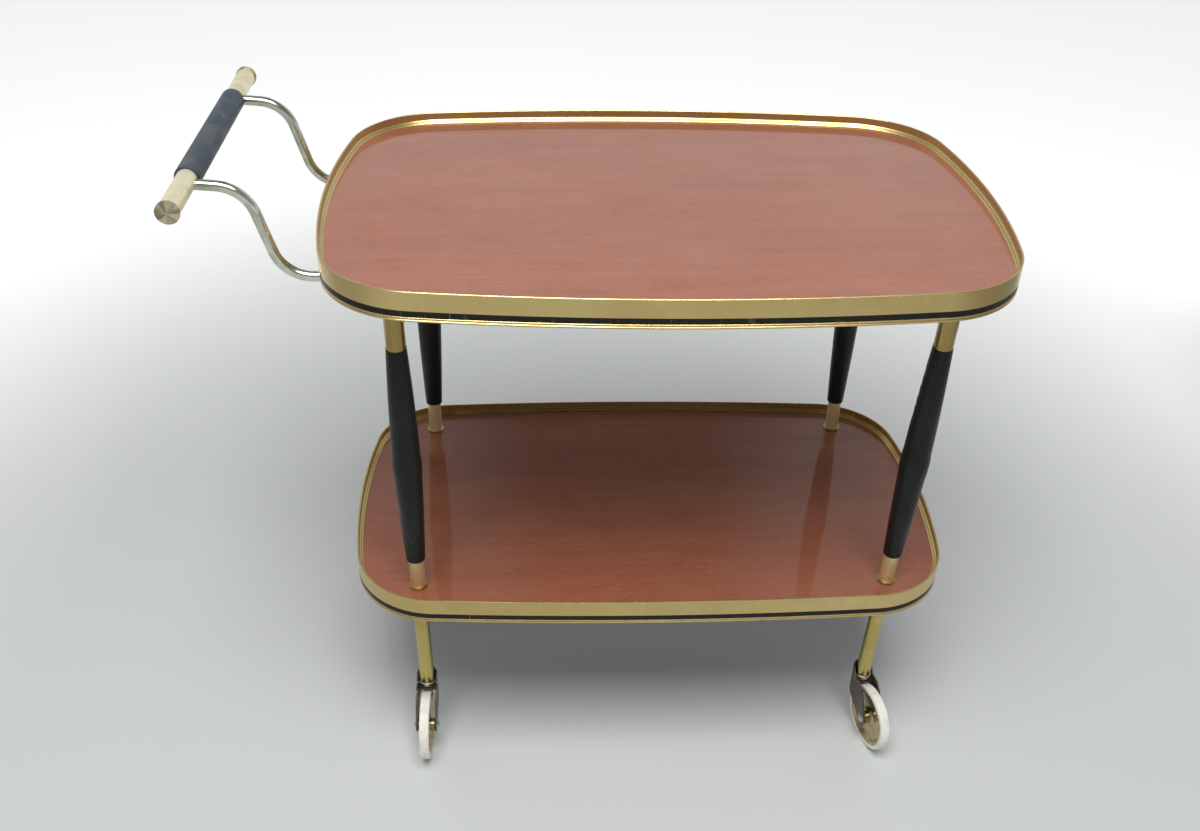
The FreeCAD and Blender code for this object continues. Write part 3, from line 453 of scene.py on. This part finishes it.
def blockMaterial():
    # dark stained hardwood
    look = {
        "dark": (0.040, 0.024, 0.016), "light": (0.095, 0.058, 0.036), "fibre": (0.020, 0.012, 0.009),
        "pore": (0.010, 0.007, 0.005), "fibreStretch": (14.0, 260.0, 260.0), "figureStretch": (8.0, 50.0, 50.0),
        "poreStretch": (90.0, 900.0, 900.0), "poreEdges": (0.6, 0.68), "figureEdges": (0.35, 0.65),
        "fibreEdges": (0.4, 0.7), "fibreShare": 0.5, "softEdges": (0.3, 0.7), "roughness": 0.42,
        "fibreRoughness": 0.60, "bump": 0.4, "bumpDepth": 0.0004,
    }
    material, tree, shader = newMaterial("stained hardwood")
    fibres = noise(tree, objectCoords(tree, scale=look["fibreStretch"]), scale=1.0, detail=6.0, roughness=0.65)
    figure = noise(tree, objectCoords(tree, scale=look["figureStretch"]), scale=1.0, detail=3.0, distortion=0.6)
    ticks = noise(tree, objectCoords(tree, scale=look["poreStretch"]), scale=1.0, detail=1.0)
    pores = remap(tree, ticks, *look["poreEdges"])
    color = mixColor(tree, remap(tree, figure, *look["figureEdges"]), look["dark"], look["light"])
    color = mixColor(tree, remap(tree, fibres, *look["fibreEdges"], 0.0, look["fibreShare"]), color, look["fibre"])
    tree.links.new(mixColor(tree, pores, color, look["pore"]), shader.inputs["Base Color"])
    rough = remap(tree, fibres, *look["softEdges"], look["roughness"], look["fibreRoughness"])
    tree.links.new(rough, shader.inputs["Roughness"])
    height = minus(tree, fibres, pores)
    tree.links.new(bumpNode(tree, height, look["bump"], look["bumpDepth"]), shader.inputs["Normal"])
    return material


goldRim = anodisedMaterial("gold anodised rim", {
    "lines": (5.0, 5.0, 1500.0), "light": (0.660, 0.510, 0.235), "deep": (0.540, 0.405, 0.160),
    "stain": (0.400, 0.290, 0.110), "bare": (0.800, 0.720, 0.560), "tarnish": 0.26, "scratched": 0.10,
    "smudgeScale": 11.0, "toneScale": 3.0, "roughness": 0.24, "anisotropic": 0.35, "bump": 0.08, "metallic": 0.9,
})
brassTube = anodisedMaterial("gold anodised tube", {
    "lines": (900.0, 900.0, 7.0), "light": (0.580, 0.475, 0.185), "deep": (0.450, 0.350, 0.110),
    "stain": (0.340, 0.245, 0.085), "bare": (0.820, 0.740, 0.520), "tarnish": 0.35, "scratched": 0.20,
    "smudgeScale": 20.0, "toneScale": 7.0, "roughness": 0.22, "anisotropic": 0.2, "bump": 0.08,
})
handleMetal = anodisedMaterial("bright brass handle", {
    "lines": (700.0, 9.0, 700.0), "light": (0.950, 0.900, 0.680), "deep": (0.880, 0.810, 0.560),
    "stain": (0.520, 0.440, 0.240), "bare": (0.900, 0.860, 0.720), "tarnish": 0.30, "scratched": 0.25,
    "smudgeScale": 34.0, "toneScale": 14.0, "roughness": 0.42, "anisotropic": 0.0, "bump": 0.04, "metallic": 0.7,
})
armMetal = anodisedMaterial("worn brass arm", {
    "lines": (60.0, 700.0, 60.0), "light": (0.780, 0.800, 0.700), "deep": (0.500, 0.510, 0.420),
    "stain": (0.230, 0.225, 0.160), "bare": (0.880, 0.860, 0.760), "tarnish": 0.50, "scratched": 0.25,
    "smudgeScale": 44.0, "toneScale": 22.0, "roughness": 0.12, "anisotropic": 0.0, "bump": 0.05,
})
# painted shade: a darker copy of the tube finish for the sockets under the top tray
socketBrassPaintedShade = anodisedMaterial("brass socket with painted shade", {
    "lines": (900.0, 900.0, 7.0), "light": (0.430, 0.335, 0.135), "deep": (0.310, 0.230, 0.078),
    "stain": (0.200, 0.138, 0.048), "bare": (0.700, 0.620, 0.420), "tarnish": 0.40, "scratched": 0.20,
    "smudgeScale": 22.0, "toneScale": 9.0, "roughness": 0.20, "anisotropic": 0.2, "bump": 0.06,
})
capLow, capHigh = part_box("end_cap_front")
# the cap's dark and light wedges are painted sheen, not a colour of the brass
capBrass = anodisedMaterial("spun brass cap", {
    "lines": (60.0, 60.0, 60.0), "light": (0.780, 0.700, 0.500), "deep": (0.520, 0.450, 0.290),
    "stain": (0.260, 0.205, 0.110), "bare": (0.860, 0.820, 0.700), "tarnish": 0.35, "scratched": 0.25,
    "smudgeScale": 60.0, "toneScale": 70.0, "roughness": 0.22, "anisotropic": 0.6, "bump": 0.05,
    "spinCentre": ((capLow[0] + capHigh[0]) / 2, (capLow[2] + capHigh[2]) / 2), "spinSheenDark": (0.200, 0.165, 0.100),
})
# painted highlight: a brighter, less red copy of the tube finish for the upper tubes
ferruleBrassPaintedHighlight = anodisedMaterial("brass ferrule with painted highlight", {
    "lines": (900.0, 900.0, 7.0), "light": (0.900, 0.780, 0.460), "deep": (0.780, 0.650, 0.340),
    "stain": (0.480, 0.360, 0.160), "bare": (0.900, 0.840, 0.660), "tarnish": 0.25, "scratched": 0.15,
    "smudgeScale": 30.0, "toneScale": 12.0, "roughness": 0.30, "anisotropic": 0.2, "bump": 0.05, "metallic": 0.66,
})
laminate = laminateMaterial()
stripe = stripeMaterial()
sleeveBlack = plasticMaterial("satin black sleeve", {
    "dark": (0.004, 0.006, 0.005), "light": (0.008, 0.011, 0.009), "rubbed": (0.016, 0.020, 0.018),
    "scratch": (0.07, 0.075, 0.07), "smudgeScale": 12.0, "roughness": 0.40, "grainScale": 1300.0, "bump": 0.10,
    "ior": 1.30,
})
gripBlack = plasticMaterial("slate grip", {
    "dark": (0.020, 0.036, 0.052), "light": (0.034, 0.056, 0.078), "rubbed": (0.060, 0.085, 0.105),
    "scratch": (0.14, 0.16, 0.17), "smudgeScale": 30.0, "roughness": 0.50, "grainScale": 1700.0, "bump": 0.22,
    "ior": 1.42,
})
tyreCream = tyreMaterial()
zinc = steelMaterial("zinc plated steel", {
    "light": (0.58, 0.57, 0.54), "deep": (0.40, 0.39, 0.36), "stain": (0.20, 0.14, 0.09), "bare": (0.75, 0.74, 0.72),
    "rust": 0.35, "dust": 0.15, "roughness": 0.32, "metallic": 1.0, "bump": 0.12,
})
forkBronze = steelMaterial("bronzed steel fork", {
    "light": (0.200, 0.180, 0.150), "deep": (0.100, 0.090, 0.072), "stain": (0.10, 0.062, 0.035),
    "bare": (0.46, 0.42, 0.34), "rust": 0.40, "dust": 0.14, "roughness": 0.34, "metallic": 0.9, "bump": 0.14,
})
hubBrass = steelMaterial("lacquered brass hub", {
    "light": (0.600, 0.510, 0.310), "deep": (0.400, 0.325, 0.175), "stain": (0.20, 0.145, 0.070),
    "bare": (0.75, 0.66, 0.45), "rust": 0.35, "dust": 0.10, "roughness": 0.26, "metallic": 1.0, "bump": 0.10,
})
block = blockMaterial()
print("materials made")

# the record's material slots, and the pieces that look different from the rest of their slot; the sockets' copy is
# painted shade and the upper tubes' copy is painted highlight
finish = {
    "laminate": laminate, "gold_rim": goldRim, "black_insert": stripe, "brass_tube": brassTube,
    "black_sleeve": sleeveBlack, "steel": zinc, "grip": gripBlack, "cap_metal": capBrass,
    "block_wood": block, "fork_metal": forkBronze, "hub_metal": hubBrass, "tyre": tyreCream,
}
variants = {"handle_bar": handleMetal, "handle_arm": armMetal, "leg_socket": socketBrassPaintedShade, "upper_tube": ferruleBrassPaintedHighlight}
for entry in frame["record"]["subparts"]:
    piece = nodes[entry["node"]]
    material = finish[entry["material_slot"]]
    for start, special in variants.items():
        if entry["node"].startswith(start):
            material = special
    piece.data.materials.clear()
    piece.data.materials.append(material)
print("finishes assigned")


# floor, light and camera
def makeFloor():
    # grey near the trolley; paler behind it and far off, where it also gives off light of its own, painted light
    # standing in for a lit wall; darker out at the sides, painted shade
    ground = {
        "reach": 9.0, "near": (0.66, 0.69, 0.69), "far": (0.90, 0.91, 0.92), "side": (0.40, 0.41, 0.41),
        "cloudShade": 0.97, "cloudScale": 1.5, "fadeStart": 0.62, "fadeEnd": 1.7, "frontEnd": -0.35, "backStart": 0.55,
        "sideStart": 0.95, "sideEnd": 1.45, "sideFront": 0.5, "sideBack": 1.0, "farStart": 2.3, "farEnd": 4.2,
        "paintedEmission": 0.55, "roughness": 0.75,
    }
    bpy.ops.object.select_all(action="DESELECT")
    bpy.ops.mesh.primitive_plane_add(size=2 * ground["reach"], location=(0, 0, 0))
    floor = bpy.context.object
    floor.name = "floor"
    material, tree, shader = newMaterial("pale floor")
    place = objectCoords(tree)
    distance = tree.nodes.new("ShaderNodeVectorMath")
    distance.operation = "LENGTH"
    tree.links.new(place, distance.inputs[0])
    radius = distance.outputs["Value"]
    across = separate(tree, place)
    pale = remap(tree, radius, ground["fadeStart"], ground["fadeEnd"], smooth=True)
    behind = remap(tree, across["Y"], ground["frontEnd"], ground["backStart"], smooth=True)
    # painted shade: the floor is darker out at the sides, fading out towards the back
    aside = remap(tree, mathNode(tree, "ABSOLUTE", across["X"]), ground["sideStart"], ground["sideEnd"], smooth=True)
    level = remap(tree, across["Y"], ground["sideFront"], ground["sideBack"], 1.0, 0.0, smooth=True)
    aside = times(tree, aside, level)
    farOff = remap(tree, radius, ground["farStart"], ground["farEnd"], smooth=True)
    pale = times(tree, times(tree, pale, behind), minus(tree, 1.0, aside))
    pale = mathNode(tree, "MAXIMUM", pale, farOff)
    aside = times(tree, aside, minus(tree, 1.0, farOff))
    cloud = noise(tree, place, scale=ground["cloudScale"], detail=6.0)
    tone = mixColor(tree, cloud, tuple(part * ground["cloudShade"] for part in ground["near"]), ground["near"])
    tone = mixColor(tree, pale, tone, ground["far"])
    tone = mixColor(tree, aside, tone, ground["side"])
    tree.links.new(tone, shader.inputs["Base Color"])
    # painted light: the pale floor behind and far off gives off light, as if a lit wall stood there
    tree.links.new(mixColor(tree, pale, (0.0, 0.0, 0.0), ground["far"]), shader.inputs["Emission Color"])
    shader.inputs["Emission Strength"].default_value = ground["paintedEmission"]
    shader.inputs["Roughness"].default_value = ground["roughness"]
    floor.data.materials.append(material)


def makeLight(name, lamp):
    data = bpy.data.lights.new(name, "AREA")
    data.shape = "RECTANGLE"
    data.size, data.size_y = lamp["size"]
    data.energy = lamp["power"]
    data.color = lamp["color"]
    light = bpy.data.objects.new(name, data)
    bpy.context.scene.collection.objects.link(light)
    light.location = lamp["place"]
    light.rotation_euler = (Vector(lamp["target"]) - Vector(lamp["place"])).to_track_quat("-Z", "Y").to_euler()


def makeWorld():
    # a pale wall behind the trolley, bright low down and dimmer above, grey at the sides, in front and overhead
    room = {
        "wall": (0.98, 0.99, 1.0), "side": (0.40, 0.40, 0.40), "ceiling": (0.26, 0.26, 0.26),
        "upperWall": (0.66, 0.67, 0.68), "upperShade": (0.06, 0.06, 0.06), "strength": 0.72,
        "wallTop": 0.49, "upperStart": 0.56, "upperTop": 0.70, "ceilingStart": 0.84,
        "sideEnd": -0.15, "wallStart": 0.55, "skirtFull": 0.06, "skirtEnd": 0.26,
        "shadeMiddle": 0.09, "shadeEdge": 0.07, "shadeEnd": 0.22, "leastAhead": 0.05, "facingFull": 0.3,
    }
    world = bpy.data.worlds.new("soft room")
    world.use_nodes = True
    tree = world.node_tree
    tree.nodes.clear()
    output = tree.nodes.new("ShaderNodeOutputWorld")
    background = tree.nodes.new("ShaderNodeBackground")
    coords = tree.nodes.new("ShaderNodeTexCoord")
    toward = separate(tree, coords.outputs["Generated"])
    height = remap(tree, toward["Z"], room["wallTop"], room["upperStart"], smooth=True)
    overhead = remap(tree, toward["Z"], room["upperTop"], room["ceilingStart"], smooth=True)
    behind = remap(tree, toward["Y"], room["sideEnd"], room["wallStart"], smooth=True)
    skirting = remap(tree, toward["Z"], room["skirtFull"], room["skirtEnd"], 1.0, 0.0, smooth=True)
    behind = mathNode(tree, "MAXIMUM", behind, skirting)
    # the upper part of the back wall is shaded in its middle
    slant = mathNode(tree, "DIVIDE", toward["X"], mathNode(tree, "MAXIMUM", toward["Y"], room["leastAhead"]))
    aside = mathNode(tree, "ABSOLUTE", minus(tree, slant, room["shadeMiddle"]))
    lit = remap(tree, aside, room["shadeEdge"], room["shadeEnd"], smooth=True)
    upper = mixColor(tree, lit, room["upperShade"], room["upperWall"])
    facing = remap(tree, toward["Y"], 0.0, room["facingFull"], smooth=True)
    upper = mixColor(tree, facing, room["ceiling"], upper)
    color = mixColor(tree, height, mixColor(tree, behind, room["side"], room["wall"]), upper)
    color = mixColor(tree, overhead, color, room["ceiling"])
    tree.links.new(color, background.inputs["Color"])
    background.inputs["Strength"].default_value = room["strength"]
    tree.links.new(background.outputs["Background"], output.inputs["Surface"])
    bpy.context.scene.world = world


def makeCamera():
    view = {"place": (-0.07305, -1.1249, 1.0986), "lens": 36.87, "sensor": 36.0,
            "yaw": -0.06564, "pitch": 0.59057, "roll": 0.03253}  # angles in radians
    ahead = Vector((-math.sin(view["yaw"]) * math.cos(view["pitch"]), math.cos(view["yaw"]) * math.cos(view["pitch"]),
                    -math.sin(view["pitch"])))
    right = Vector((math.cos(view["yaw"]), math.sin(view["yaw"]), 0.0))
    up = right.cross(ahead)
    rightRolled = right * math.cos(view["roll"]) + up * math.sin(view["roll"])
    upRolled = up * math.cos(view["roll"]) - right * math.sin(view["roll"])
    data = bpy.data.cameras.new("camera")
    data.lens = view["lens"]
    data.sensor_width = view["sensor"]
    camera = bpy.data.objects.new("camera", data)
    bpy.context.scene.collection.objects.link(camera)
    camera.matrix_world = Matrix((
        (rightRolled.x, upRolled.x, -ahead.x, view["place"][0]),
        (rightRolled.y, upRolled.y, -ahead.y, view["place"][1]),
        (rightRolled.z, upRolled.z, -ahead.z, view["place"][2]),
        (0, 0, 0, 1),
    ))
    bpy.context.scene.camera = camera


makeFloor()
makeWorld()
makeLight("key", {
    "place": (-0.1, -1.05, 2.8), "target": (0.0, 0.0, 0.4), "size": (1.7, 1.4), "power": 68,
    "color": (1.0, 0.99, 0.97),
})
makeCamera()
bpy.context.scene.view_settings.view_transform = "Standard"
print("floor, light and camera placed")
